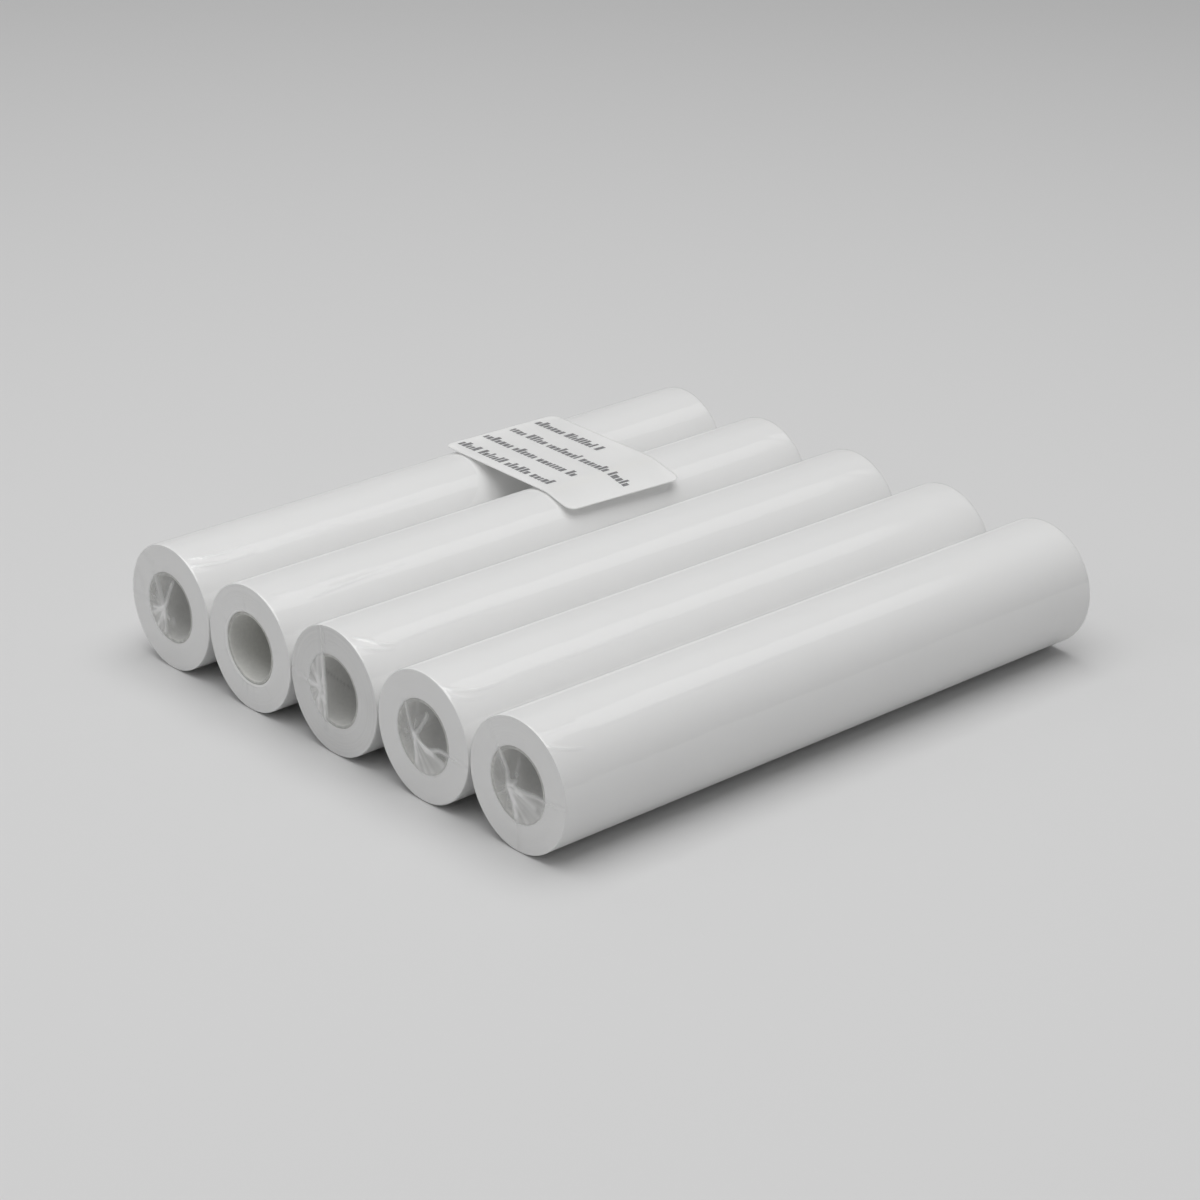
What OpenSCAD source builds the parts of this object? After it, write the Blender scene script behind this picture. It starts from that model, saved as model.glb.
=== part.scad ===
// A pack of five wrapped paper rolls lying side by side, with one card label across two of them.
// X runs across the row, from roll 1 to roll 5. Y runs along the rolls, and -Y is the front.
// Z is up, and the origin is at the centre of the pack's footprint, on the surface that it lies on.

/* [Paper] */
// Width of the paper, which is the length of each roll
paper_w = 210; // [150:1:300]
// Diameter of the wound paper
roll_d = 39.2; // [30:0.1:60]

/* [Core] */
// Outer diameter of the paperboard core
core_d = 22.3; // [16:0.1:26]
// Wall thickness of the core
core_wall = 1; // [0.6:0.1:2]
// How far each end of the core is set back from the paper
core_recess = 0.2; // [0.1:0.1:3]

/* [Shrink film] */
// Thickness of the film
film_t = 0.1; // [0.05:0.01:0.2]
// Room between the paper and the film on the barrel, which the tail tab fills
film_room = 0.1; // [0.08:0.01:0.3]
// How far the gathered end of the film dips into the bore
gather_dip = 0.3; // [0.2:0.1:0.7]
// Radius of the puckered knot at the middle of the gathered end
knot_r = 1; // [0.5:0.1:2]
// Rounding of the film over the rim of each end
rim_r = 0.2; // [0.1:0.05:0.25]

/* [Tail tab] */
// Width of the tab along the roll
tab_w = 24; // [10:1:60]
// Length of the tab around the roll
tab_l = 14; // [8:1:25]
// Thickness of the tab
tab_t = 0.08; // [0.05:0.01:0.08]
// Place of the tab around the roll, in degrees from straight down towards +X
tab_angle = -35; // [-80:1:80]

/* [Row] */
// Gap between the wrapped rolls
roll_gap = 0.3; // [0.2:0.1:2]

/* [Label] */
// Length of the label across the rolls, laid flat
label_l = 64.9; // [58:0.1:70]
// Width of the label along the rolls
label_w = 44.8; // [30:0.1:60]
// Thickness of the card
label_t = 0.25; // [0.15:0.01:0.4]
// Radius of the label's corners
label_corner = 3; // [1:0.5:6]
// Length of the flap that lies over roll 1, measured from the crest of roll 2
flap_l = 49.3; // [42:0.1:52]
// Place of the label's middle along the rolls
label_y = 30.7; // [0:0.1:70]
// Turn of the label on the rolls, in degrees
label_turn = -2.8; // [-4:0.1:4]
// Angle around roll 2 over which the label is stuck down
stuck_angle = 12; // [8:0.1:30]
// Thickness of the adhesive, which also lifts the flap clear of roll 1
adhesive_t = 0.3; // [0.2:0.05:0.5]
// How far the adhesive stays inside the label's edges
adhesive_margin = 2; // [1:0.5:5]

/* [Hidden] */
$fn = 96;
eps = 0.01;
// Overlap that joins two shapes of one piece
join = 0.05;
paper_r = roll_d / 2;
core_r = core_d / 2;
film_inner_r = paper_r + film_room;
wrap_r = film_inner_r + film_t;
wrap_l = paper_w + 2 * film_t;
pitch = 2 * wrap_r + roll_gap;
middle_roll = 3;
label_roll = 2;
turned_roll = 2;
// Crest of the roll that the label is stuck to
crest_x = (label_roll - middle_roll) * pitch;
label_under_r = wrap_r + adhesive_t;
label_over_r = label_under_r + label_t;
stuck_l = label_under_r * stuck_angle * PI / 180;
stuck_run = label_under_r * sin(stuck_angle);
wing_l = label_l - flap_l - stuck_l;
// Length of the label as seen from straight above
label_run = flap_l + stuck_run + wing_l * cos(stuck_angle);
label_x = crest_x - flap_l + label_run / 2;

// Moves a roll that stands on the plane z = 0 at the origin into its place in the row
module place_roll(n) {
    turn = (n == turned_roll) ? 180 : 0;
    translate([(n - middle_roll) * pitch, 0, wrap_r])
        rotate([0, 0, turn])
            rotate([-90, 0, 0])
                translate([0, 0, -wrap_l / 2])
                    children();
}

// A plain tube that stands on z = 0
module tube(outer_r, inner_r, length) {
    difference() {
        cylinder(r = outer_r, h = length);
        translate([0, 0, -1]) cylinder(r = inner_r, h = length + 2);
    }
}

module core(n) {
    color("#a89f92")
        place_roll(n)
            translate([0, 0, film_t + core_recess])
                tube(core_r, core_r - core_wall, paper_w - 2 * core_recess);
}

module paper_winding(n) {
    color("#f2f1ee")
        place_roll(n)
            translate([0, 0, film_t])
                tube(paper_r, core_r, paper_w);
}

// The tab is a patch of a thin shell, centred along the roll
module tail_tab(n) {
    half_angle = tab_l / paper_r * 90 / PI;
    // A roll that is turned round keeps its tab on the same side of the pack
    side = (n == turned_roll) ? -1 : 1;
    color("#e3ddc8")
        place_roll(n)
            translate([0, 0, (wrap_l - tab_w) / 2])
                rotate([0, 0, 90 - side * tab_angle - half_angle])
                    rotate_extrude(angle = 2 * half_angle)
                        translate([paper_r, 0]) square([tab_t, tab_w]);
}

// Outline of the wrapped roll's half section, with rounded rims
module wrap_section(r, length, rounding) {
    square([r - rounding, length]);
    translate([0, rounding]) square([r, length - 2 * rounding]);
    translate([r - rounding, rounding]) circle(r = rounding);
    translate([r - rounding, length - rounding]) circle(r = rounding);
}

// The sleeve covers the barrel and both end faces, up to the edge of the bore
module film_sleeve(n) {
    color("#dfe3e6", 0.35)
        place_roll(n)
            rotate_extrude()
                difference() {
                    wrap_section(wrap_r, wrap_l, rim_r);
                    translate([0, film_t]) square([film_inner_r, paper_w]);
                    translate([-eps, -1]) square([core_r + eps, wrap_l + 2]);
                }
}

// The gathered end closes the bore at the front, with a shallow dip and a puckered knot
module film_gather(n) {
    color("#eef0f1", 0.5)
        place_roll(n)
            rotate_extrude()
                difference() {
                    union() {
                        square([core_r, film_t]);
                        polygon([
                            [0, 0],
                            [core_r - core_wall, 0],
                            [knot_r, gather_dip + film_t],
                            [0, gather_dip + film_t]
                        ]);
                    }
                    polygon([
                        [-eps, -eps],
                        [core_r - 2 * core_wall, -eps],
                        [knot_r, gather_dip],
                        [-eps, gather_dip / 2]
                    ]);
                }
}

// The label's outline seen from above, made smaller by a margin on every side
module label_outline(margin) {
    length = label_run - 2 * margin;
    width = label_w - 2 * margin;
    corner = max(label_corner - margin, 1);
    translate([label_x, label_y])
        rotate(label_turn) {
            square([length - 2 * corner, width], center = true);
            square([length, width - 2 * corner], center = true);
            for (sx = [-1, 1], sy = [-1, 1])
                translate([sx * (length / 2 - corner), sy * (width / 2 - corner)]) circle(r = corner);
        }
}

// A ring sector over the crest of roll 2, from one angle to another, long enough to cut from
module crest_arc(inner_r, outer_r, from_angle, to_angle) {
    translate([crest_x, label_y - label_w, wrap_r])
        rotate([-90, 0, 0])
            rotate([0, 0, -90 + from_angle])
                rotate_extrude(angle = to_angle - from_angle)
                    translate([inner_r, 0]) square([outer_r - inner_r, 2 * label_w]);
}

module label_cut(margin) {
    intersection() {
        linear_extrude(height = 4 * wrap_r) label_outline(margin);
        children();
    }
}

module label_adhesive() {
    color("#d8d6cf")
        label_cut(adhesive_margin)
            crest_arc(wrap_r, label_under_r, 0, stuck_angle);
}

module label_base() {
    color("#fbfbf9")
        label_cut(0)
            union() {
                crest_arc(label_under_r, label_over_r, 0, stuck_angle);
                translate([crest_x, label_y - label_w, wrap_r])
                    rotate([0, stuck_angle, 0])
                        translate([-join, 0, label_under_r])
                            cube([label_l, 2 * label_w, label_t]);
            }
}

module label_flap() {
    color("#fbfbf9")
        label_cut(0)
            translate([crest_x - label_l, label_y - label_w, wrap_r + label_under_r])
                cube([label_l, 2 * label_w, label_t]);
}

core(1);  // core_1
core(2);  // core_2
core(3);  // core_3
core(4);  // core_4
core(5);  // core_5
paper_winding(1);  // paper_winding_1
paper_winding(2);  // paper_winding_2
paper_winding(3);  // paper_winding_3
paper_winding(4);  // paper_winding_4
paper_winding(5);  // paper_winding_5
tail_tab(1);  // tail_tab_1
tail_tab(2);  // tail_tab_2
tail_tab(3);  // tail_tab_3
tail_tab(4);  // tail_tab_4
tail_tab(5);  // tail_tab_5
film_sleeve(1);  // film_sleeve_1
film_sleeve(2);  // film_sleeve_2
film_sleeve(3);  // film_sleeve_3
film_sleeve(4);  // film_sleeve_4
film_sleeve(5);  // film_sleeve_5
film_gather(1);  // film_gather_1
film_gather(2);  // film_gather_2
film_gather(3);  // film_gather_3
film_gather(4);  // film_gather_4
film_gather(5);  // film_gather_5
label_adhesive();
label_base();
label_flap();
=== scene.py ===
"""Looks of a pack of five shrink-wrapped paper rolls with a card label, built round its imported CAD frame.

Every piece is in metres in the row frame. X runs across the row, Y along the rolls (front at -Y), Z up.
"""
import math

import bpy
import numpy as np
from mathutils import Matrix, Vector


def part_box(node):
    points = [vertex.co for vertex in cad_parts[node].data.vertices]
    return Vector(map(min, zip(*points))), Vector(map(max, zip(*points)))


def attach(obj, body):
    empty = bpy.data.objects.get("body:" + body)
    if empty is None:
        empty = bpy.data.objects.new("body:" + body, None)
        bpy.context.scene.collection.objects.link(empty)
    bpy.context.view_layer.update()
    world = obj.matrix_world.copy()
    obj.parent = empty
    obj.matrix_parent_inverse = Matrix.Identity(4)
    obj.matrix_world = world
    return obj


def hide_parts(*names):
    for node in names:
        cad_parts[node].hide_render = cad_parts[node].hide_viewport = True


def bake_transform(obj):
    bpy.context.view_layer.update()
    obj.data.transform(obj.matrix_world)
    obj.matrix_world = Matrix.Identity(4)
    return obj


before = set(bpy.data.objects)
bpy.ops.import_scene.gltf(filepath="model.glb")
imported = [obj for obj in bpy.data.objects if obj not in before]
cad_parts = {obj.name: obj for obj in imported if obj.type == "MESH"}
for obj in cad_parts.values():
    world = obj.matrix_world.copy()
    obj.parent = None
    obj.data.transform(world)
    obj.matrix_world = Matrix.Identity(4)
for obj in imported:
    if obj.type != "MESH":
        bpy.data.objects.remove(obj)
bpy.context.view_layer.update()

MM = 0.001
ROLLS = (1, 2, 3, 4, 5)
TURNED = 2                     # the roll that lies the other way round
LABEL_ROLL = 2                 # the roll that the label is stuck to


# ---------------------------------------------------------------- sizes, read from the frame
def middle(node):
    low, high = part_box(node)
    return (low + high) / 2


AXIS = {n: middle(f"core_{n}") for n in ROLLS}
sleeve_low, sleeve_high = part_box("film_sleeve_1")
paper_low, paper_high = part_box("paper_winding_1")
core_low, core_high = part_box("core_1")
flap_low, flap_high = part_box("label_flap")

WRAP_R = (sleeve_high.x - sleeve_low.x) / 2
WRAP_L = sleeve_high.y - sleeve_low.y
PAPER_R = (paper_high.x - paper_low.x) / 2
PAPER_L = paper_high.y - paper_low.y
CORE_R = (core_high.x - core_low.x) / 2
CORE_L = core_high.y - core_low.y
CORE_WALL = 1.0 * MM
BORE_R = CORE_R - CORE_WALL


def body_of_roll(n):
    return "roll_2_and_label" if n == LABEL_ROLL else f"roll_{n}"


# ---------------------------------------------------------------- mesh helpers
def mesh_object(name, vertices, faces, smooth=True):
    mesh = bpy.data.meshes.new(name)
    mesh.from_pydata([tuple(v) for v in vertices], [], faces)
    mesh.update()
    mesh.polygons.foreach_set("use_smooth", [smooth] * len(mesh.polygons))
    piece = bpy.data.objects.new(name, mesh)
    bpy.context.scene.collection.objects.link(piece)
    return piece


def point_attribute(piece, name, values):
    attribute = piece.data.attributes.new(name, "FLOAT", "POINT")
    attribute.data.foreach_set("value", np.asarray(values, np.float32).ravel())


def ring_faces(rings, around, closed=False):
    """Quads between neighbouring rings of points, and back from the last ring to the first if closed."""
    faces = []
    last = rings if closed else rings - 1
    for i in range(last):
        a, b = i * around, ((i + 1) % rings) * around
        for j in range(around):
            k = (j + 1) % around
            faces.append((a + j, b + j, b + k, a + k))
    return faces


def waves(rng, around, along, terms, most_turns, shortest):
    """A smooth field over angle and length, with an amplitude of about 1, that closes round the roll."""
    field = np.zeros(np.broadcast(around, along).shape)
    for _ in range(terms):
        turns = rng.integers(0, most_turns + 1)
        length = shortest * (1 + 3 * rng.random())
        phase = rng.random() * 2 * math.pi
        field += np.sin(turns * around + 2 * math.pi * along / length + phase)
    return field / math.sqrt(terms)


def place(n, u, v, along):
    """A point of roll n. u is to the right and v up, seen from its closed end, and along runs from there."""
    side = -1 if n == TURNED else 1
    c = AXIS[n]
    return np.stack([c.x + side * u, side * (along - WRAP_L / 2), c.z + v], -1)


# ---------------------------------------------------------------- material helpers
class Nodes:
    """A material's node tree, with short calls for the nodes that these materials use."""

    def __init__(self, name):
        self.material = bpy.data.materials.new(name)
        self.material.use_nodes = True
        self.tree = self.material.node_tree
        self.tree.nodes.clear()

    def node(self, kind, **settings):
        made = self.tree.nodes.new(kind)
        for key, value in settings.items():
            setattr(made, key, value)
        return made

    def feed(self, socket, value):
        if isinstance(value, bpy.types.NodeSocket):
            self.tree.links.new(value, socket)
        else:
            socket.default_value = value

    def math(self, operation, a, b=0.0, clamp=False):
        made = self.node("ShaderNodeMath", operation=operation, use_clamp=clamp)
        self.feed(made.inputs[0], a)
        self.feed(made.inputs[1], b)
        return made.outputs[0]

    def attribute(self, name):
        return self.node("ShaderNodeAttribute", attribute_name=name).outputs["Fac"]

    def position(self, stretch=(1, 1, 1)):
        """The point on the object, in metres at rest, stretched along each axis."""
        place_in = self.node("ShaderNodeTexCoord").outputs["Object"]
        mapping = self.node("ShaderNodeMapping")
        self.feed(mapping.inputs["Vector"], place_in)
        self.feed(mapping.inputs["Scale"], stretch)
        return mapping.outputs[0]

    def noise(self, vector, scale, detail=2.0, roughness=0.5):
        made = self.node("ShaderNodeTexNoise")
        self.feed(made.inputs["Vector"], vector)
        self.feed(made.inputs["Scale"], scale)
        self.feed(made.inputs["Detail"], detail)
        self.feed(made.inputs["Roughness"], roughness)
        return made.outputs["Fac"]

    def noise_1d(self, w, scale, detail=2.0):
        made = self.node("ShaderNodeTexNoise", noise_dimensions="1D")
        self.feed(made.inputs["W"], w)
        self.feed(made.inputs["Scale"], scale)
        self.feed(made.inputs["Detail"], detail)
        return made.outputs["Fac"]

    def ramp(self, factor, *stops):
        """stops are (place, colour) pairs."""
        made = self.node("ShaderNodeValToRGB")
        self.feed(made.inputs["Fac"], factor)
        ramp = made.color_ramp
        while len(ramp.elements) < len(stops):
            ramp.elements.new(0.5)
        for element, (where, colour) in zip(ramp.elements, stops):
            element.position = where
            element.color = (*colour, 1)
        return made.outputs["Color"]

    def span(self, value, low, high, to_low=0.0, to_high=1.0):
        made = self.node("ShaderNodeMapRange")
        for socket, number in zip(made.inputs, (value, low, high, to_low, to_high)):
            self.feed(socket, number)
        return made.outputs[0]

    def bump(self, height, distance, strength=1.0, normal=None):
        made = self.node("ShaderNodeBump")
        self.feed(made.inputs["Height"], height)
        self.feed(made.inputs["Distance"], distance)
        self.feed(made.inputs["Strength"], strength)
        if normal is not None:
            self.feed(made.inputs["Normal"], normal)
        return made.outputs[0]

    def principled(self, colour, roughness, normal=None, **sockets):
        made = self.node("ShaderNodeBsdfPrincipled")
        is_socket = isinstance(colour, bpy.types.NodeSocket)
        self.feed(made.inputs["Base Color"], colour if is_socket else (*colour, 1))
        self.feed(made.inputs["Roughness"], roughness)
        if normal is not None:
            self.feed(made.inputs["Normal"], normal)
        for name, value in sockets.items():
            self.feed(made.inputs[name.replace("_", " ")], value)
        return made.outputs[0]

    def mix(self, factor, a, b):
        made = self.node("ShaderNodeMixShader")
        self.feed(made.inputs[0], factor)
        self.feed(made.inputs[1], a)
        self.feed(made.inputs[2], b)
        return made.outputs[0]

    def finish(self, shader):
        self.feed(self.node("ShaderNodeOutputMaterial").inputs["Surface"], shader)
        return self.material


def paper_material():
    """Coated white paper: faint mottling on the barrel, fine bands of layers on the ends, and painted shade
    darkening the ends of some rolls.
    """
    m = Nodes("coated_paper")
    end = m.attribute("end_face")
    layer = m.attribute("layer_mm")
    fine = m.noise_1d(layer, 9.0, 3.0)
    broad = m.noise_1d(layer, 1.3, 2.0)
    bands = m.math("ADD", m.math("MULTIPLY", fine, 0.6), m.math("MULTIPLY", broad, 0.4))
    mottle = m.noise(m.position((60, 25, 60)), 1.0, 3.0)
    tone = m.math("MULTIPLY", m.math("SUBTRACT", bands, 0.5), end)
    tone = m.math("ADD", m.math("MULTIPLY", tone, 0.55), m.math("MULTIPLY", mottle, 0.25))
    # painted shade: the ends marked by this attribute are painted darker, standing in for shade over the end
    # face
    darker = m.math("MULTIPLY", m.attribute("painted_end_shade"), 0.38)
    tone = m.math("SUBTRACT", m.math("ADD", tone, 0.35), darker, clamp=True)
    stops = (0.0, (0.73, 0.73, 0.725)), (0.25, (0.857, 0.857, 0.852)), (1.0, (0.94, 0.94, 0.935))
    colour = m.ramp(tone, *stops)
    grain = m.bump(m.noise(m.position(), 2600.0, 3.0), 0.00002, 0.35)
    normal = m.bump(m.math("MULTIPLY", bands, end), 0.00012, 0.6, grain)
    roughness = m.span(end, 0.0, 1.0, 0.42, 0.72)
    return m.finish(m.principled(colour, roughness, normal, Specular_IOR_Level=0.35))


def board_material():
    """Spiral-wound grey paperboard: fibres, the faint butt line of the wound strip, and darker cut ends that
    are partly the board's cut edge and partly painted shade at the bore mouth.
    """
    m = Nodes("paperboard")
    fibres = m.noise(m.position(), 900.0, 4.0, 0.65)
    cloud = m.noise(m.position(), 60.0, 3.0)
    # the seam is a real dark joint; the darker cut ends are partly the board's own cut edge and partly
    # painted shade at the bore mouth
    in_seam = m.math("MULTIPLY", m.attribute("seam"), 0.35)
    darker = m.math("ADD", in_seam, m.math("MULTIPLY", m.attribute("cut_end"), 0.42))
    tone = m.math("ADD", m.math("MULTIPLY", fibres, 0.6), m.math("MULTIPLY", cloud, 0.4))
    tone = m.math("SUBTRACT", tone, darker, clamp=True)
    colour = m.ramp(tone, (0.0, (0.44, 0.44, 0.42)), (0.25, (0.66, 0.66, 0.635)), (0.85, (0.84, 0.84, 0.81)))
    normal = m.bump(fibres, 0.00008, 0.5)
    return m.finish(m.principled(colour, 0.85, normal, Specular_IOR_Level=0.2))


def film_material():
    """Clear shrink film: gloss over what lies under it, and a white haze where it is creased."""
    m = Nodes("shrink_film")
    haze = m.attribute("haze")
    ripple = m.noise(m.position((1, 0.12, 1)), 420.0, 3.0, 0.6)
    orange_peel = m.noise(m.position(), 900.0, 2.0)
    normal = m.bump(ripple, 0.00012, 0.35, m.bump(orange_peel, 0.00003, 0.3))
    weight = m.node("ShaderNodeLayerWeight")
    weight.inputs["Blend"].default_value = 0.5
    m.feed(weight.inputs["Normal"], normal)
    grazing = m.math("POWER", weight.outputs["Facing"], 4.0)
    clear = m.node("ShaderNodeBsdfTransparent")
    clear.inputs["Color"].default_value = (0.99, 0.99, 0.99, 1)
    gloss = m.node("ShaderNodeBsdfGlossy")
    gloss.inputs["Roughness"].default_value = 0.085
    m.feed(gloss.inputs["Normal"], normal)
    shine = m.math("ADD", m.math("MULTIPLY", grazing, 0.5), 0.09)
    shine = m.math("MINIMUM", shine, 0.15)
    skin = m.mix(shine, clear.outputs[0], gloss.outputs[0])
    milk = m.principled((0.93, 0.93, 0.93), 0.35, normal, Specular_IOR_Level=0.5)
    return m.finish(m.mix(haze, skin, milk))


def card_material():
    """Bright white label card with a satin coat and a little tooth, thin enough to let some light through."""
    m = Nodes("label_card")
    tooth = m.noise(m.position(), 1500.0, 3.0)
    cloud = m.noise(m.position(), 70.0, 2.0)
    colour = m.ramp(cloud, (0.2, (0.95, 0.95, 0.945)), (0.8, (0.98, 0.98, 0.975)))
    front = m.principled(colour, 0.5, m.bump(tooth, 0.00003, 0.4), Specular_IOR_Level=0.4)
    through = m.node("ShaderNodeBsdfTranslucent")
    m.feed(through.inputs["Color"], colour)
    return m.finish(m.mix(0.36, front, through.outputs[0]))


def ink_material():
    """Dark grey print, a little uneven where it lies on the card."""
    m = Nodes("label_ink")
    patchy = m.noise(m.position(), 1200.0, 3.0, 0.6)
    colour = m.ramp(patchy, (0.3, (0.13, 0.13, 0.135)), (0.75, (0.32, 0.32, 0.325)))
    return m.finish(m.principled(colour, 0.55, m.bump(patchy, 0.00002, 0.3), Specular_IOR_Level=0.3))


def tab_material():
    """Matte gummed paper."""
    m = Nodes("tab_paper")
    fibre = m.noise(m.position((1, 0.3, 1)), 800.0, 4.0, 0.6)
    colour = m.ramp(fibre, (0.25, (0.70, 0.67, 0.58)), (0.8, (0.80, 0.77, 0.69)))
    return m.finish(m.principled(colour, 0.8, m.bump(fibre, 0.00004, 0.4), Specular_IOR_Level=0.25))


def adhesive_material():
    """Slightly yellow translucent adhesive."""
    m = Nodes("adhesive")
    uneven = m.noise(m.position(), 500.0, 3.0)
    colour = m.ramp(uneven, (0.3, (0.72, 0.70, 0.62)), (0.8, (0.80, 0.78, 0.71)))
    return m.finish(m.principled(colour, 0.4, m.bump(uneven, 0.00005, 0.5), Specular_IOR_Level=0.5))


PAPER = paper_material()
BOARD = board_material()
FILM = film_material()
CARD = card_material()
INK = ink_material()
TAB = tab_material()
ADHESIVE = adhesive_material()


# ---------------------------------------------------------------- paper windings
PAPER_AROUND = 160
LAYERS_SHOWN = 34
LAYER_UNEVEN = 0.012 * MM      # how unevenly one shown layer stands against the next
MOST_UNEVEN = 0.05 * MM
TAIL_STEP = 0.06 * MM          # thickness of one sheet, seen where the outer end stops
TAIL_ANGLE = math.radians(-125)
PAINTED_SHADE_ENDS = {3: 1.0}           # painted shade: how much darker the wound layers are painted at a roll's ends, standing in for the shade over roll 3's end face


def paper_winding(n):
    """The wound paper: layers slightly uneven at the ends, and a step where the outer sheet stops."""
    rng = np.random.default_rng(100 + n)
    around = np.linspace(0, 2 * math.pi, PAPER_AROUND, endpoint=False)
    inner = CORE_R + 0.02 * MM
    radii = np.linspace(inner, PAPER_R - 0.15 * MM, LAYERS_SHOWN)
    uneven = np.cumsum(rng.normal(0, 1, LAYERS_SHOWN)) * LAYER_UNEVEN
    uneven -= uneven.mean()
    uneven = np.clip(uneven, -MOST_UNEVEN, MOST_UNEVEN)
    start = (WRAP_L - PAPER_L) / 2
    end = start + PAPER_L
    rings = [(r, start + 0.05 * MM - u, 1.0) for r, u in zip(radii, uneven)]
    rings += [(PAPER_R - 0.05 * MM, start + 0.05 * MM, 1.0), (PAPER_R, start + 0.12 * MM, 0.3)]
    rings += [(PAPER_R, a, 0.0) for a in np.linspace(start + 1 * MM, end - 1 * MM, 60)]
    rings += [(PAPER_R, end - 0.12 * MM, 0.3), (PAPER_R - 0.05 * MM, end - 0.05 * MM, 1.0)]
    rings += [(r, end - 0.05 * MM + u, 1.0) for r, u in zip(radii[::-1], uneven[::-1])]
    rings += [(inner, a, 0.0) for a in np.linspace(end - 1 * MM, start + 1 * MM, 12)]
    r, along, is_end = (np.array(column)[:, None] for column in zip(*rings))
    turn = np.mod(around - TAIL_ANGLE, 2 * math.pi) / (2 * math.pi)
    spiral = -TAIL_STEP * turn * (r > PAPER_R - 0.2 * MM)
    radius = r + spiral
    points = place(n, radius * np.cos(around), radius * np.sin(around), along + 0 * around)
    faces = ring_faces(len(rings), PAPER_AROUND, True)
    piece = mesh_object(f"paper_{n}", points.reshape(-1, 3), faces)
    point_attribute(piece, "end_face", is_end + 0 * around)
    # painted shade: marks the end faces that the paper's colour darkens
    point_attribute(piece, "painted_end_shade", (is_end + 0 * around) * PAINTED_SHADE_ENDS.get(n, 0.0))
    layers = r / MM + turn * 0.06 + n * 7.3
    point_attribute(piece, "layer_mm", layers)
    piece.data.materials.append(PAPER)
    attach(piece, body_of_roll(n))
    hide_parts(f"paper_winding_{n}")
    return piece


# ---------------------------------------------------------------- paperboard cores
CORE_AROUND = 128
STRIP_LEAD = 62 * MM           # length along the core that the wound strip takes for one turn
SEAM_WIDTH = 0.9 * MM
SEAM_DEPTH = 0.06 * MM
END_ROUGHNESS = 0.04 * MM


def paper_core(n):
    """A spiral-wound tube: a shallow helical butt line inside and out, and slightly rough cut ends."""
    rng = np.random.default_rng(200 + n)
    around = np.linspace(0, 2 * math.pi, CORE_AROUND, endpoint=False)
    start = (WRAP_L - CORE_L) / 2
    stretch = np.linspace(start + 0.2 * MM, start + CORE_L - 0.2 * MM, 220)
    rings = [(CORE_R, a, 0.0) for a in stretch]
    rings += [(CORE_R - 0.1 * MM, start + CORE_L, 1.0), (BORE_R + 0.1 * MM, start + CORE_L, 1.0)]
    rings += [(BORE_R, a, 0.0) for a in stretch[::-1]]
    rings += [(BORE_R + 0.1 * MM, start, 1.0), (CORE_R - 0.1 * MM, start, 1.0)]
    r, along, cut = (np.array(column)[:, None] for column in zip(*rings))
    phase = np.mod(along / STRIP_LEAD - around / (2 * math.pi) + 0.13 * n, 1)
    from_seam = np.minimum(phase, 1 - phase) * STRIP_LEAD
    seam = np.exp(-((from_seam / SEAM_WIDTH) ** 2)) * (1 - cut)
    inward = np.where(r < CORE_R - 0.5 * MM, 1, -1)
    radius = r + inward * SEAM_DEPTH * seam
    rough = END_ROUGHNESS * waves(rng, around, 0 * along, 9, 30, 1.0) * cut
    inward_end = np.where(along < WRAP_L / 2, 1, -1)
    points = place(n, radius * np.cos(around), radius * np.sin(around), along + inward_end * np.abs(rough))
    faces = ring_faces(len(rings), CORE_AROUND, True)
    piece = mesh_object(f"core_tube_{n}", points.reshape(-1, 3), faces)
    point_attribute(piece, "seam", seam)
    point_attribute(piece, "cut_end", cut + 0 * around)
    piece.data.materials.append(BOARD)
    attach(piece, body_of_roll(n))
    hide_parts(f"core_{n}")
    return piece


# ---------------------------------------------------------------- shrink film
FILM_AROUND = 288
FILM_ROOM = 0.14 * MM          # between the paper's surface and the film's middle
RIM = 0.35 * MM
BULLSEYE_R = CORE_R + 0.5 * MM  # edge of the round opening that the film shrinks back to at the open end
FACE_ALONG = 0.03 * MM

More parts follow.
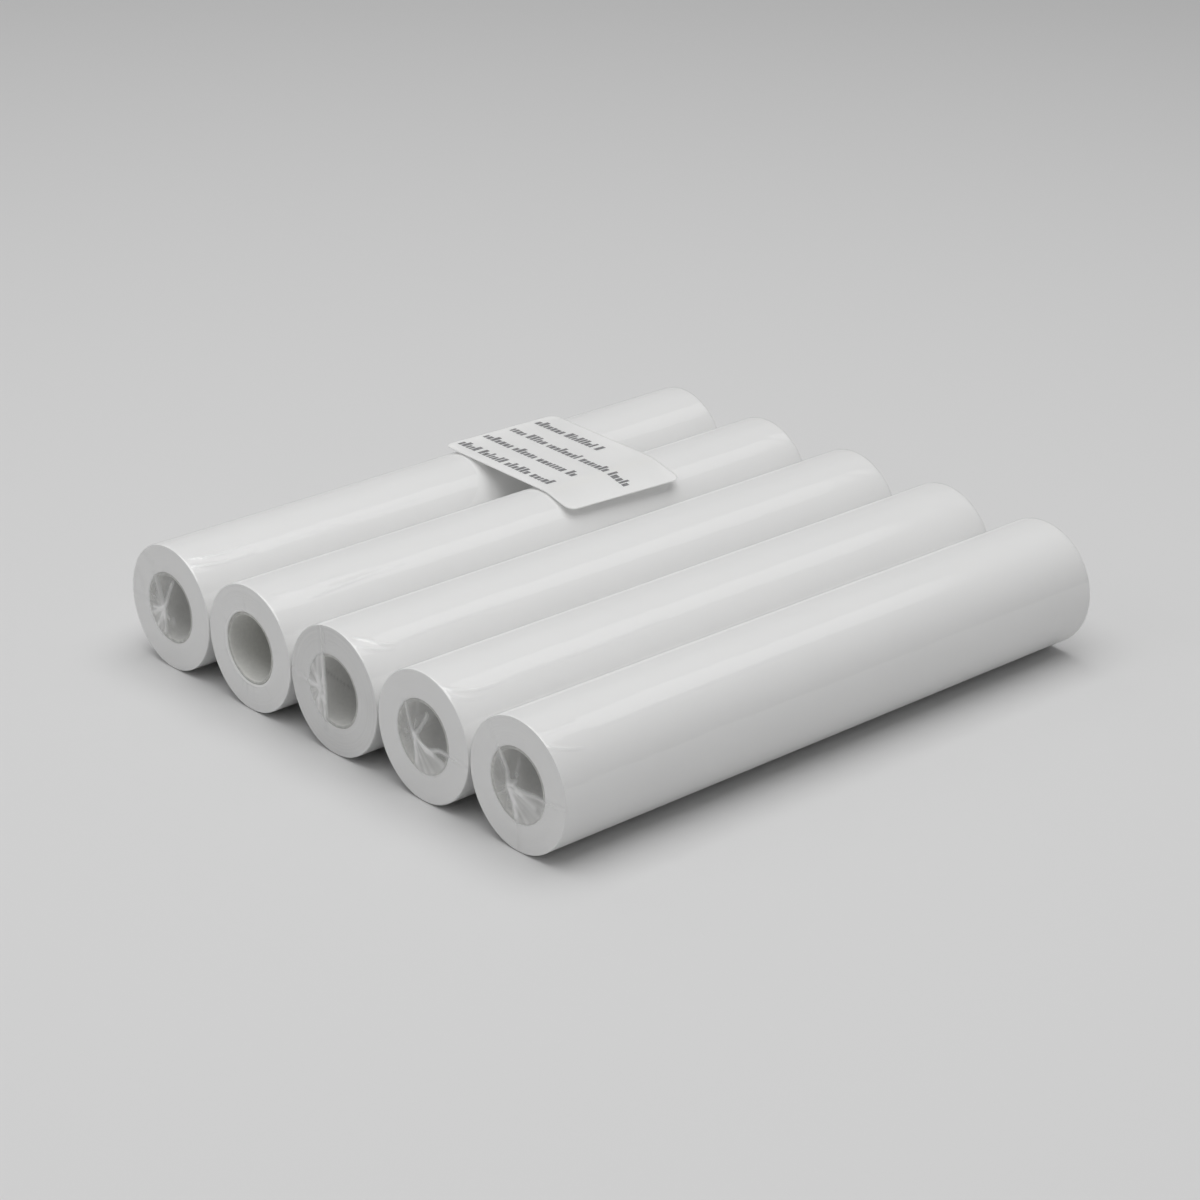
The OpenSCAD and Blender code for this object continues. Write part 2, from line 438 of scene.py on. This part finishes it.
# Creases of each gathered end, in millimetres to the right of and above the roll's axis, seen from that end.
# Each crease is its strength, its width and the points that it runs through.
STARS = {
    1: {
        "knot": (-4, -1.5),
        "hazes": ((60, 118, 0.13), (118, 185, 0.17), (185, 268, 0.30), (268, 300, 0.08), (300, 420, 0.02)),
        "creases": (
            (0.55, 0.9, ((-4, -1.5), (-5, 1), (-5.7, 4), (-6.5, 7), (-8, 10))),
            (0.8, 0.45, ((-4, -1.5), (-2.5, 0.5), (-0.5, 4), (1, 7), (3, 10))),
            (0.8, 0.4, ((-4, -1.5), (-6.5, -2.2), (-9.5, -2.2))),
            (0.7, 0.4, ((-4, -1.5), (-7, -3.2), (-9, -4.5))),
            (0.7, 0.5, ((-4, -1.5), (-3.2, -5), (-3, -9.5))),
            (0.5, 0.4, ((-4.5, -3), (-5.5, -6), (-7, -8))),
            (0.3, 0.4, ((1, -2.5), (2, -4), (1, -6))),
            (0.25, 0.8, ((-7, 12), (-11, 13.5), (-15, 14))),
            (0.3, 0.7, ((-11, -0.8), (-15, -0.6), (-21, -0.4))),
            (0.2, 0.9, ((-13, 1), (-14.5, 6), (-17, 8))),
        ),
    },
    2: {
        "knot": (2, 1),
        "hazes": ((-30, 60, 0.06), (60, 150, 0.30), (150, 240, 0.05), (240, 330, 0.22)),
        "creases": (
            (0.8, 0.45, ((2, 1), (4.5, 3), (7, 6), (8.5, 9))),
            (0.7, 0.45, ((2, 1), (1, 4), (-1.5, 7), (-4, 9.5))),
            (0.9, 0.5, ((2, 1), (-2, 0.5), (-6, -1), (-10.5, -1.5), (-14, -1.5))),
            (0.6, 0.4, ((2, 1), (1, -3), (1.5, -6), (0.5, -10))),
            (0.6, 0.4, ((2, 1), (5, -1), (9, -2.5))),
        ),
    },
    3: {
        "knot": (-7, -1.5),
        "hazes": ((75, 285, 0.36), (-75, 75, 0.0)),
        "curtain": (-4.2, 0.33),
        "creases": (
            (0.75, 0.55, ((-7, -1.5), (-10, -0.8), (-14, 0), (-21, 1.2))),
            (1.0, 0.6, ((-4.5, 21), (-4.4, 15), (-4.3, 11), (-4.6, 5), (-4.4, 0), (-4.2, -5), (-4, -9.5),
                        (-4, -14))),
            (0.6, 0.45, ((-7, -1.5), (-7.5, 3), (-7, 7), (-6.3, 10))),
            (0.45, 0.4, ((-7, -1.5), (-8.5, 2), (-9.5, 6))),
            (0.4, 0.4, ((-7, -1.5), (-7.5, -5), (-6, -9))),
        ),
    },
    4: {
        "knot": (-4.5, -1),
        "hazes": ((-85, -12, 0.34), (-12, 40, 0.06), (40, 115, 0.12), (115, 275, 0.09)),
        "creases": (
            (0.75, 0.45, ((-4.5, -1), (-5.5, 1), (-6.2, 3.5), (-7, 7), (-7.5, 9.5))),
            (0.6, 0.45, ((-4.5, -1), (-2.5, 0.5), (-0.5, 3), (1.5, 6), (2.5, 8.8))),
            (1.0, 0.45, ((-4.5, -1), (-2, -1.8), (0.5, -3.5), (4, -3), (7, -1.7), (10, -1.6), (14, -2),
                         (21, -2.3))),
            (0.6, 0.45, ((0.5, -3.8), (3, -4.2), (5, -3.8))),
            (0.5, 0.5, ((-4.5, -1), (-3.6, -3), (-3.2, -6), (-3, -9.8))),
        ),
    },
    5: {
        "knot": (-4.5, -2),
        "hazes": ((-70, 6, 0.36), (6, 88, 0.05), (88, 150, 0.10), (150, 290, 0.12)),
        "creases": (
            (0.75, 0.5, ((-4.5, -2), (-4.2, 1), (-4.2, 3.5), (-6, 6), (-7, 8.5), (-8.5, 9.5))),
            (1.0, 0.5, ((-4.5, -2), (-3, -1), (0, -1.4), (4, -1.2), (8, -0.6), (11, -0.7), (14.5, -0.5),
                        (21, 0.3))),
            (0.75, 0.6, ((-4.5, -2), (-3, -3.8), (-1.5, -5.5), (-0.7, -8), (-0.5, -10.5))),
            (0.5, 0.5, ((-1, -1.8), (2, -2.8), (5, -3.8), (8, -4.4))),
            (0.3, 0.5, ((-1, 2.5), (0.5, 5), (1, 9))),
            (0.35, 0.7, ((-9.5, 10.5), (-10.5, 13), (-11.5, 16.5))),
            (0.45, 0.6, ((-0.5, -10.5), (0.2, -13), (0.5, -21))),
        ),
    },
}

# Creases of each barrel near its front end, each as its height, its width and the points that it runs
# through. A point is an angle in degrees from the top towards +X, and a distance from the end. Lengths are
# in millimetres.
BARREL_CREASES = {
    1: (
        (0.16, 0.55, ((24, 2), (28, 7), (30, 14), (29, 24))),
        (0.14, 0.5, ((33, 1), (37, 7), (39, 15), (38, 24))),
        (0.05, 0.8, ((37, 30), (36, 60), (37, 90))),
    ),
    2: (
        (0.10, 0.5, ((36, 14), (35, 21), (33, 36), (34, 50))),
        (-0.09, 0.35, ((30, 21), (29, 28), (28.5, 36))),
        (0.07, 0.7, ((22, 2), (25, 12), (24, 30))),
    ),
    3: (
        (0.14, 0.55, ((20, 2), (27, 5), (37, 9), (41, 14))),
        (0.11, 0.5, ((30, 1), (39, 6), (44, 12))),
        (0.06, 0.8, ((38, 14), (36, 30), (38, 60))),
    ),
    4: (
        (0.16, 0.55, ((26, 1), (32, 3), (39, 10), (38, 20))),
        (0.12, 0.5, ((33, 0.5), (42, 4), (46, 11))),
        (0.05, 0.8, ((37, 22), (38, 50), (36, 80))),
    ),
    5: (
        (0.20, 0.5, ((37, 0.5), (41, 2.5), (46, 6.5), (49, 12))),
        (0.08, 0.6, ((24, 1), (27, 6), (25, 14))),
        (0.05, 0.8, ((38, 16), (36, 50), (37, 90))),
    ),
}


def distance_to_path(u, v, path):
    """How far each point is from a path, and how far along the path its nearest place is, 0 to 1."""
    nearest = np.full(np.shape(u), 1e9)
    share = np.zeros(np.shape(u))
    stretches = len(path) - 1
    for i, ((x0, y0), (x1, y1)) in enumerate(zip(path, path[1:])):
        dx, dy = x1 - x0, y1 - y0
        t = np.clip(((u - x0) * dx + (v - y0) * dy) / (dx * dx + dy * dy), 0, 1)
        d = np.hypot(u - x0 - t * dx, v - y0 - t * dy)
        closer = d < nearest
        share = np.where(closer, (i + t) / stretches, share)
        nearest = np.minimum(nearest, d)
    return nearest, share


def rounded_path(path):
    """The path with each corner eased, by one pass of corner cutting that keeps both ends."""
    eased = [path[0]]
    for (x0, y0), (x1, y1) in zip(path, path[1:]):
        eased.append((0.75 * x0 + 0.25 * x1, 0.75 * y0 + 0.25 * y1))
        eased.append((0.25 * x0 + 0.75 * x1, 0.25 * y0 + 0.75 * y1))
    return [*eased, path[-1]]


# The gathered end, in millimetres
KNOT_DEPTH = 0.8               # how far the film dips at the knot
KNOT_REACH = 4.5               # distance from the knot over which the dip dies away
BORE_EDGE = 9.9                # radius at which the film meets the core
RIM_START, RIM_WIDTH = 10.6, 1.2
CREASE_TALL, SHOULDER_TALL = 0.22, 0.07
CREASE_HAZE, SHOULDER_HAZE = 0.40, 0.10
MOST_HAZE = 0.8
SMALL_CREASES = 16
SMALL_CREASE_WIDTH = 0.35
HAZE_EDGE = 7                  # degrees over which a hazy sector starts and stops
STREAK_TURNS = (7, 12, 19, 27)


def gathered_end(rng, star, u, v):
    """How far the closed end of the film stands out, in millimetres, and its haze, at given points."""
    knot_u, knot_v = star["knot"]
    from_axis = np.hypot(u, v)
    from_knot = np.hypot(u - knot_u, v - knot_v)
    over_bore = 1 / (1 + np.exp((from_axis - BORE_EDGE) / 0.25))
    on_rim = np.clip((from_axis - RIM_START) / RIM_WIDTH, 0, 1)
    angle = np.degrees(np.arctan2(v - knot_v, u - knot_u))
    haze = np.zeros(np.shape(u))
    for low, high, amount in star["hazes"]:
        within = np.minimum(np.mod(angle - low, 360), np.mod(high - angle, 360)) / HAZE_EDGE
        inside = np.mod(angle - low, 360) <= (high - low)
        haze = haze + np.where(inside, amount * np.clip(0.4 + within, 0, 1), 0)
    if "curtain" in star:
        edge, amount = star["curtain"]
        haze = amount / (1 + np.exp((u - edge) / 0.25))
    streaks = np.zeros(np.shape(u))
    for turns in STREAK_TURNS:
        streaks = streaks + np.sin(np.radians(angle) * turns + rng.random() * 6.3)
    streaks = 1 + 0.11 * streaks * np.clip(from_knot / 3, 0, 1)
    haze = haze * streaks * (1 - on_rim)
    height = -KNOT_DEPTH * np.exp(-from_knot / KNOT_REACH) * over_bore
    creases = list(star["creases"])
    for _ in range(SMALL_CREASES):
        direction = rng.random() * 2 * math.pi
        begin, length = 0.5 + 3 * rng.random(), 2 + 4 * rng.random()
        bend = rng.normal(0, 0.25)
        steps = [begin, begin + length / 2, begin + length]
        path = [(knot_u + s * math.cos(direction + bend * k), knot_v + s * math.sin(direction + bend * k))
                for k, s in enumerate(steps)]
        creases.append((0.08 + 0.14 * rng.random(), SMALL_CREASE_WIDTH, path))
    for strength, width, path in creases:
        d, share = distance_to_path(u, v, rounded_path(rounded_path(path)))
        fade = np.clip((1 - share) * 5, 0, 1) * np.clip(0.45 + share * 6, 0, 1)
        wide = width * (1.15 + 0.15 * on_rim)
        line = np.exp(-((d / wide) ** 2)) * strength * fade
        milky = np.exp(-((d / (1.35 * wide)) ** 2)) * strength * fade
        shoulder = np.exp(-d / (3.2 * wide)) * strength * fade
        height += (CREASE_TALL * line + SHOULDER_TALL * shoulder) * (1 - 0.7 * on_rim)
        haze = haze + (CREASE_HAZE * milky + SHOULDER_HAZE * shoulder) * (1 - 0.45 * on_rim)
    return height, np.clip(haze, 0, MOST_HAZE)


PLEATS = 26
NEAR_END = 24 * MM             # length at each end of the barrel that has the finer mesh
END_REACH = 9 * MM             # distance over which the puckers die away from each end
HOLE_EDGE_WIDTH = 0.25 * MM


def film_pleats(rng, around):
    """Fine pleats that run in over the rim towards the hole, 0 to 1 round the roll."""
    pleats = np.zeros((1, FILM_AROUND))
    for _ in range(PLEATS):
        where, width = rng.random() * 2 * math.pi, 0.012 + 0.03 * rng.random()
        gap = np.angle(np.exp(1j * (around - where)))
        pleats = pleats + rng.random() * np.exp(-((gap / width) ** 2))
    return np.minimum(pleats, 1)


def barrel_creases(n, around, along, skin_r):
    """The height in millimetres and the haze of roll n's own creases, on its whole mesh."""
    front = along if n != TURNED else WRAP_L - along
    side = 1 if n != TURNED else -1
    arc = (np.mod(90 - np.degrees(around) + 180, 360) - 180) * side
    arc_mm = np.radians(arc) * skin_r / MM
    height, haze = 0, 0
    for tall, width, path in BARREL_CREASES[n]:
        laid = [(math.radians(a) * skin_r / MM, s) for a, s in path]
        across, down = arc_mm + 0 * along, front / MM + 0 * around
        d, share = distance_to_path(across, down, rounded_path(laid))
        line = np.exp(-((d / width) ** 2)) * np.sin(math.pi * np.clip(0.1 + 0.85 * share, 0, 1))
        height = height + tall * line
        haze = haze + max(tall, 0) * 1.2 * line
    return height, haze


def film_wrap(n):
    """One piece of film: gathered end, both faces, rims, barrel, and the hole at the open end."""
    rng = np.random.default_rng(300 + n)
    around = np.linspace(0, 2 * math.pi, FILM_AROUND, endpoint=False)
    skin_r = PAPER_R + FILM_ROOM
    low, high = FACE_ALONG, WRAP_L - FACE_ALONG
    rings = [(r, low, 0, -1) for r in np.linspace(0.05 * MM, CORE_R, 58)]
    rings += [(r, low, 0, -1) for r in np.linspace(CORE_R + 0.3 * MM, skin_r - RIM, 26)]
    corner = np.radians(np.linspace(15, 75, 5))
    rings += [(skin_r - RIM + RIM * math.sin(a), low + RIM - RIM * math.cos(a), math.sin(a), -math.cos(a))
              for a in corner]
    near = np.linspace(low + RIM, NEAR_END, 60)
    middle_part = np.linspace(NEAR_END + 1.5 * MM, WRAP_L - NEAR_END - 1.5 * MM, 90)
    far = WRAP_L - near[::-1]
    rings += [(skin_r, a, 1, 0) for a in (*near, *middle_part, *far)]
    rings += [(skin_r - RIM + RIM * math.sin(a), high - RIM + RIM * math.cos(a), math.sin(a), math.cos(a))
              for a in corner[::-1]]
    rings += [(r, high, 0, 1) for r in np.linspace(skin_r - RIM, BULLSEYE_R, 26)]
    r, along, out_r, out_a = (np.array(column)[:, None] for column in zip(*rings))
    u, v = r * np.cos(around), r * np.sin(around)

    on_barrel = np.clip(out_r, 0, 1) ** 2
    closed_face = np.clip(-out_a, 0, 1)
    open_face = np.clip(out_a, 0, 1)
    rise, haze = gathered_end(rng, STARS[n], u / MM, v / MM)
    height = rise * closed_face
    haze = haze * closed_face

    # the pleats are stronger near the hole
    into_hole = np.clip((skin_r - r) / (skin_r - CORE_R), 0, 1)
    pleats = film_pleats(rng, around)
    on_face = np.clip(closed_face * (r > CORE_R - 0.2 * MM) + open_face, 0, 1)
    height = height + on_face * pleats * (0.03 + 0.12 * into_hole ** 2)
    haze = haze + open_face * pleats * 0.10 * into_hole ** 3

    # the film's heavier edge round the open hole
    rolled = np.exp(-(((r - BULLSEYE_R) / HOLE_EDGE_WIDTH) ** 2)) * open_face
    height = height + 0.08 * rolled
    haze = haze + 0.12 * rolled
    hole_wave = 0.25 * MM * waves(rng, around, 0 * along, 5, 5, 1.0) * rolled

    # tension ripples on the barrel, a little stronger towards both ends
    from_end = np.minimum(along, WRAP_L - along)
    near_end = np.exp(-from_end / END_REACH)
    ripple = waves(rng, around, along, 14, 9, 60 * MM)
    pucker = np.abs(waves(rng, around, along, 10, 26, 14 * MM))
    height = height + on_barrel * (0.022 * ripple + 0.055 * pucker * near_end)

    crease_height, crease_haze = barrel_creases(n, around, along, skin_r)
    height = height + on_barrel * crease_height
    haze = haze + on_barrel * crease_haze

    height = height * MM
    radius = r + height * out_r + hole_wave
    points = place(n, radius * np.cos(around), radius * np.sin(around), along + height * out_a)
    faces = ring_faces(len(rings), FILM_AROUND)
    piece = mesh_object(f"film_wrap_{n}", points.reshape(-1, 3), faces)
    point_attribute(piece, "haze", np.clip(haze + 0.015, 0, 0.9))
    piece.data.materials.append(FILM)
    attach(piece, body_of_roll(n))
    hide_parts(f"film_sleeve_{n}", f"film_gather_{n}")
    return piece


# ---------------------------------------------------------------- label
LABEL_T = flap_high.z - flap_low.z
CREST = Vector((AXIS[LABEL_ROLL].x, 0, AXIS[LABEL_ROLL].z))
UNDER_R = flap_low.z - CREST.z
LABEL_TURN = math.radians(-2.8)
LABEL_FLAT = (64.9 * MM, 44.8 * MM)
LABEL_CORNER = 3.0 * MM
STUCK_ANGLE = math.radians(12)
LABEL_Y = 30.7 * MM
LABEL_LEFT = 49.3 * MM         # how far the flap reaches from the crest, towards roll 1


def label_point(across, along, lift):
    """Where a point of the flat label goes. across is from the crest of roll 2, lift is off the underside."""
    reach = UNDER_R * STUCK_ANGLE
    angle = np.clip(across / UNDER_R, 0, STUCK_ANGLE)
    past = np.maximum(across - reach, 0)
    r = UNDER_R + lift
    x = np.where(across < 0, across, r * np.sin(angle) + past * math.cos(STUCK_ANGLE))
    z = np.where(across < 0, r, r * np.cos(angle) - past * math.sin(STUCK_ANGLE))
    return np.stack([CREST.x + x, along + 0 * x, CREST.z + z], -1)


def on_label(s, t):
    """Turns a place on the label, from its middle, into a distance across from the crest and a frame Y."""
    cos, sin = math.cos(LABEL_TURN), math.sin(LABEL_TURN)
    across = s * cos - t * sin + LABEL_FLAT[0] / 2 - LABEL_LEFT
    along = s * sin + t * cos + LABEL_Y
    return across, along


def rounded_grid(columns, rows):
    """A grid of places on the flat label, from its middle, pulled in at the four rounded corners."""
    s = np.linspace(-1, 1, columns + 1) * LABEL_FLAT[0] / 2
    t = np.linspace(-1, 1, rows + 1) * LABEL_FLAT[1] / 2
    grid_s, grid_t = np.meshgrid(s, t, indexing="ij")
    square_s = LABEL_FLAT[0] / 2 - LABEL_CORNER
    square_t = LABEL_FLAT[1] / 2 - LABEL_CORNER
    over_s = np.maximum(np.abs(grid_s) - square_s, 0) / LABEL_CORNER
    over_t = np.maximum(np.abs(grid_t) - square_t, 0) / LABEL_CORNER
    in_corner = (over_s > 0) & (over_t > 0)
    reach = np.maximum(np.hypot(over_s, over_t), 1e-9)
    squeeze = np.where(in_corner, np.maximum(over_s, over_t) / reach, 1) * LABEL_CORNER
    round_s = np.sign(grid_s) * (np.minimum(np.abs(grid_s), square_s) + over_s * squeeze)
    round_t = np.sign(grid_t) * (np.minimum(np.abs(grid_t), square_t) + over_t * squeeze)
    return round_s, round_t


def label_sheet():
    """The label card: one sheet with rounded corners, a thin edge, and the bend over roll 2."""
    columns, rows = 150, 64
    across, along = on_label(*rounded_grid(columns, rows))
    top = label_point(across, along, LABEL_T).reshape(-1, 3)
    under = label_point(across, along, 0).reshape(-1, 3)
    count = len(top)
    wide = rows + 1
    faces = []
    for i in range(columns):
        for j in range(rows):
            a, b = i * wide + j, (i + 1) * wide + j
            faces.append((a, b, b + 1, a + 1))
            faces.append((count + a, count + a + 1, count + b + 1, count + b))
    border = [i * wide for i in range(columns + 1)]
    border += [columns * wide + j for j in range(1, wide)]
    border += [i * wide + rows for i in range(columns - 1, -1, -1)]
    border += [j for j in range(rows - 1, 0, -1)]
    for a, b in zip(border, border[1:] + border[:1]):
        faces.append((a, a + count, b + count, b))
    piece = mesh_object("label_sheet", np.concatenate([top, under]), faces)
    piece.data.materials.append(CARD)
    return piece


# Rows of greeked print: where each starts and ends, as shares of the label's length, and its
# middle as a share of the label's width.
PRINT_ROWS = ((0.035, 0.54, 0.82), (0.035, 0.94, 0.59), (0.025, 0.74, 0.36), (0.025, 0.76, 0.135))
BLOCK_TALL = 3.9 * MM
BLOCK_WIDE = (0.9 * MM, 1.9 * MM)
BLOCK_SHARES = (0.62, 0.68, 1.0)  # heights of the blocks, as shares of BLOCK_TALL
BLOCK_ODDS = (0.45, 0.3, 0.25)
BLOCK_GAP = 0.45 * MM
WORD_GAP = 1.3 * MM
WORD_BLOCKS = (4, 9)
PRINT_LIFT = 0.02 * MM


def label_print():
    """Greeked rows: short plain dashes grouped like words, with no lettering."""
    rng = np.random.default_rng(41)
    vertices, faces = [], []
    for begin, end, high in PRINT_ROWS:
        s = (begin - 0.5) * LABEL_FLAT[0]
        stop = (end - 0.5) * LABEL_FLAT[0]
        left_in_word = rng.integers(*WORD_BLOCKS)
        while s < stop - BLOCK_WIDE[0]:
            wide = min(rng.uniform(*BLOCK_WIDE), stop - s)
            tall = BLOCK_TALL * rng.choice(BLOCK_SHARES, p=BLOCK_ODDS)
            base = (high - 0.5) * LABEL_FLAT[1] - BLOCK_TALL / 2
            corners_s = np.array([s, s + wide, s + wide, s])
            corners_t = np.array([base, base, base + tall, base + tall])
            across, along = on_label(corners_s, corners_t)
            first = len(vertices)
            vertices.extend(label_point(across, along, LABEL_T + PRINT_LIFT))
            faces.append((first, first + 1, first + 2, first + 3))
            s += wide + BLOCK_GAP
            left_in_word -= 1
            if left_in_word == 0:
                s += WORD_GAP
                left_in_word = rng.integers(*WORD_BLOCKS)
    piece = mesh_object("label_print", vertices, faces, smooth=False)
    piece.data.materials.append(INK)
    return piece


# ---------------------------------------------------------------- stage, light and camera
FLOOR_HALF = 12.0
FLOOR_COLOUR = (0.66, 0.66, 0.66)


def stage_floor():
    corners = [(-FLOOR_HALF, -FLOOR_HALF, 0), (FLOOR_HALF, -FLOOR_HALF, 0),
               (FLOOR_HALF, FLOOR_HALF, 0), (-FLOOR_HALF, FLOOR_HALF, 0)]
    floor = mesh_object("stage_floor", corners, [(0, 1, 2, 3)])
    m = Nodes("stage_paint")
    floor.data.materials.append(m.finish(m.principled(FLOOR_COLOUR, 0.9, Specular_IOR_Level=0.1)))


def area_light(name, where, aim, size, power):
    light = bpy.data.lights.new(name, "AREA")
    light.shape = "RECTANGLE"
    light.size, light.size_y = size
    light.energy = power
    lamp = bpy.data.objects.new(name, light)
    lamp.location = where
    lamp.rotation_euler = (Vector(aim) - Vector(where)).to_track_quat("-Z", "Y").to_euler()
    bpy.context.scene.collection.objects.link(lamp)


WORLD_LIGHT = 0.267
SOFTBOXES = (
    # name, place, aim, size, power
    ("overhead", (0.1, -0.08, 1.3), (0.1, -0.08, 0), (1.4, 1.4), 13.5),
    ("right", (1.4, 0.1, 0.55), (0, 0, 0.02), (1.4, 0.9), 0.6),
    ("left", (-1.1, 0.1, 0.85), (0, 0, 0.02), (1.0, 0.9), 1.2),
    ("front", (-0.3, -1.2, 0.9), (0, 0, 0.02), (1.2, 0.7), 1.7),
    ("strip", (0.09, 0.79, 1.2), (0.09, 0.0, 0.02), (0.5, 0.56), 0.5),
)


def studio():
    world = bpy.data.worlds.new("studio")
    bpy.context.scene.world = world
    world.use_nodes = True
    background = world.node_tree.nodes["Background"]
    background.inputs["Color"].default_value = (1, 1, 1, 1)
    background.inputs["Strength"].default_value = WORLD_LIGHT
    for name, where, aim, size, power in SOFTBOXES:
        area_light(name, where, aim, size, power)


CAMERA_AZIMUTH = 48.13
CAMERA_ELEVATION = 23.25
CAMERA_DISTANCE = 0.9796
CAMERA_AIM = Vector((0.0015, -0.0053, 0.0198))
CAMERA_LENS = 97.7


def photo_camera():
    a, e = math.radians(CAMERA_AZIMUTH), math.radians(CAMERA_ELEVATION)
    back = Vector((math.sin(a) * math.cos(e), -math.cos(a) * math.cos(e), math.sin(e)))
    data = bpy.data.cameras.new("camera")
    data.lens = CAMERA_LENS
    data.sensor_width = 36
    camera = bpy.data.objects.new("camera", data)
    camera.location = CAMERA_AIM + back * CAMERA_DISTANCE
    camera.rotation_euler = (-back).to_track_quat("-Z", "Y").to_euler()
    bpy.context.scene.collection.objects.link(camera)
    bpy.context.scene.camera = camera


photo_camera()
studio()
stage_floor()
bpy.context.scene.view_settings.view_transform = "Standard"

for n in ROLLS:
    paper_winding(n)
    paper_core(n)
    film_wrap(n)
    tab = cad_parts[f"tail_tab_{n}"]
    tab.data.materials.clear()
    tab.data.materials.append(TAB)

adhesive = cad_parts["label_adhesive"]
adhesive.data.materials.clear()
adhesive.data.materials.append(ADHESIVE)

card = label_sheet()
print_rows = label_print()
for piece in (card, print_rows):
    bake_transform(piece)
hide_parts("label_base", "label_flap")
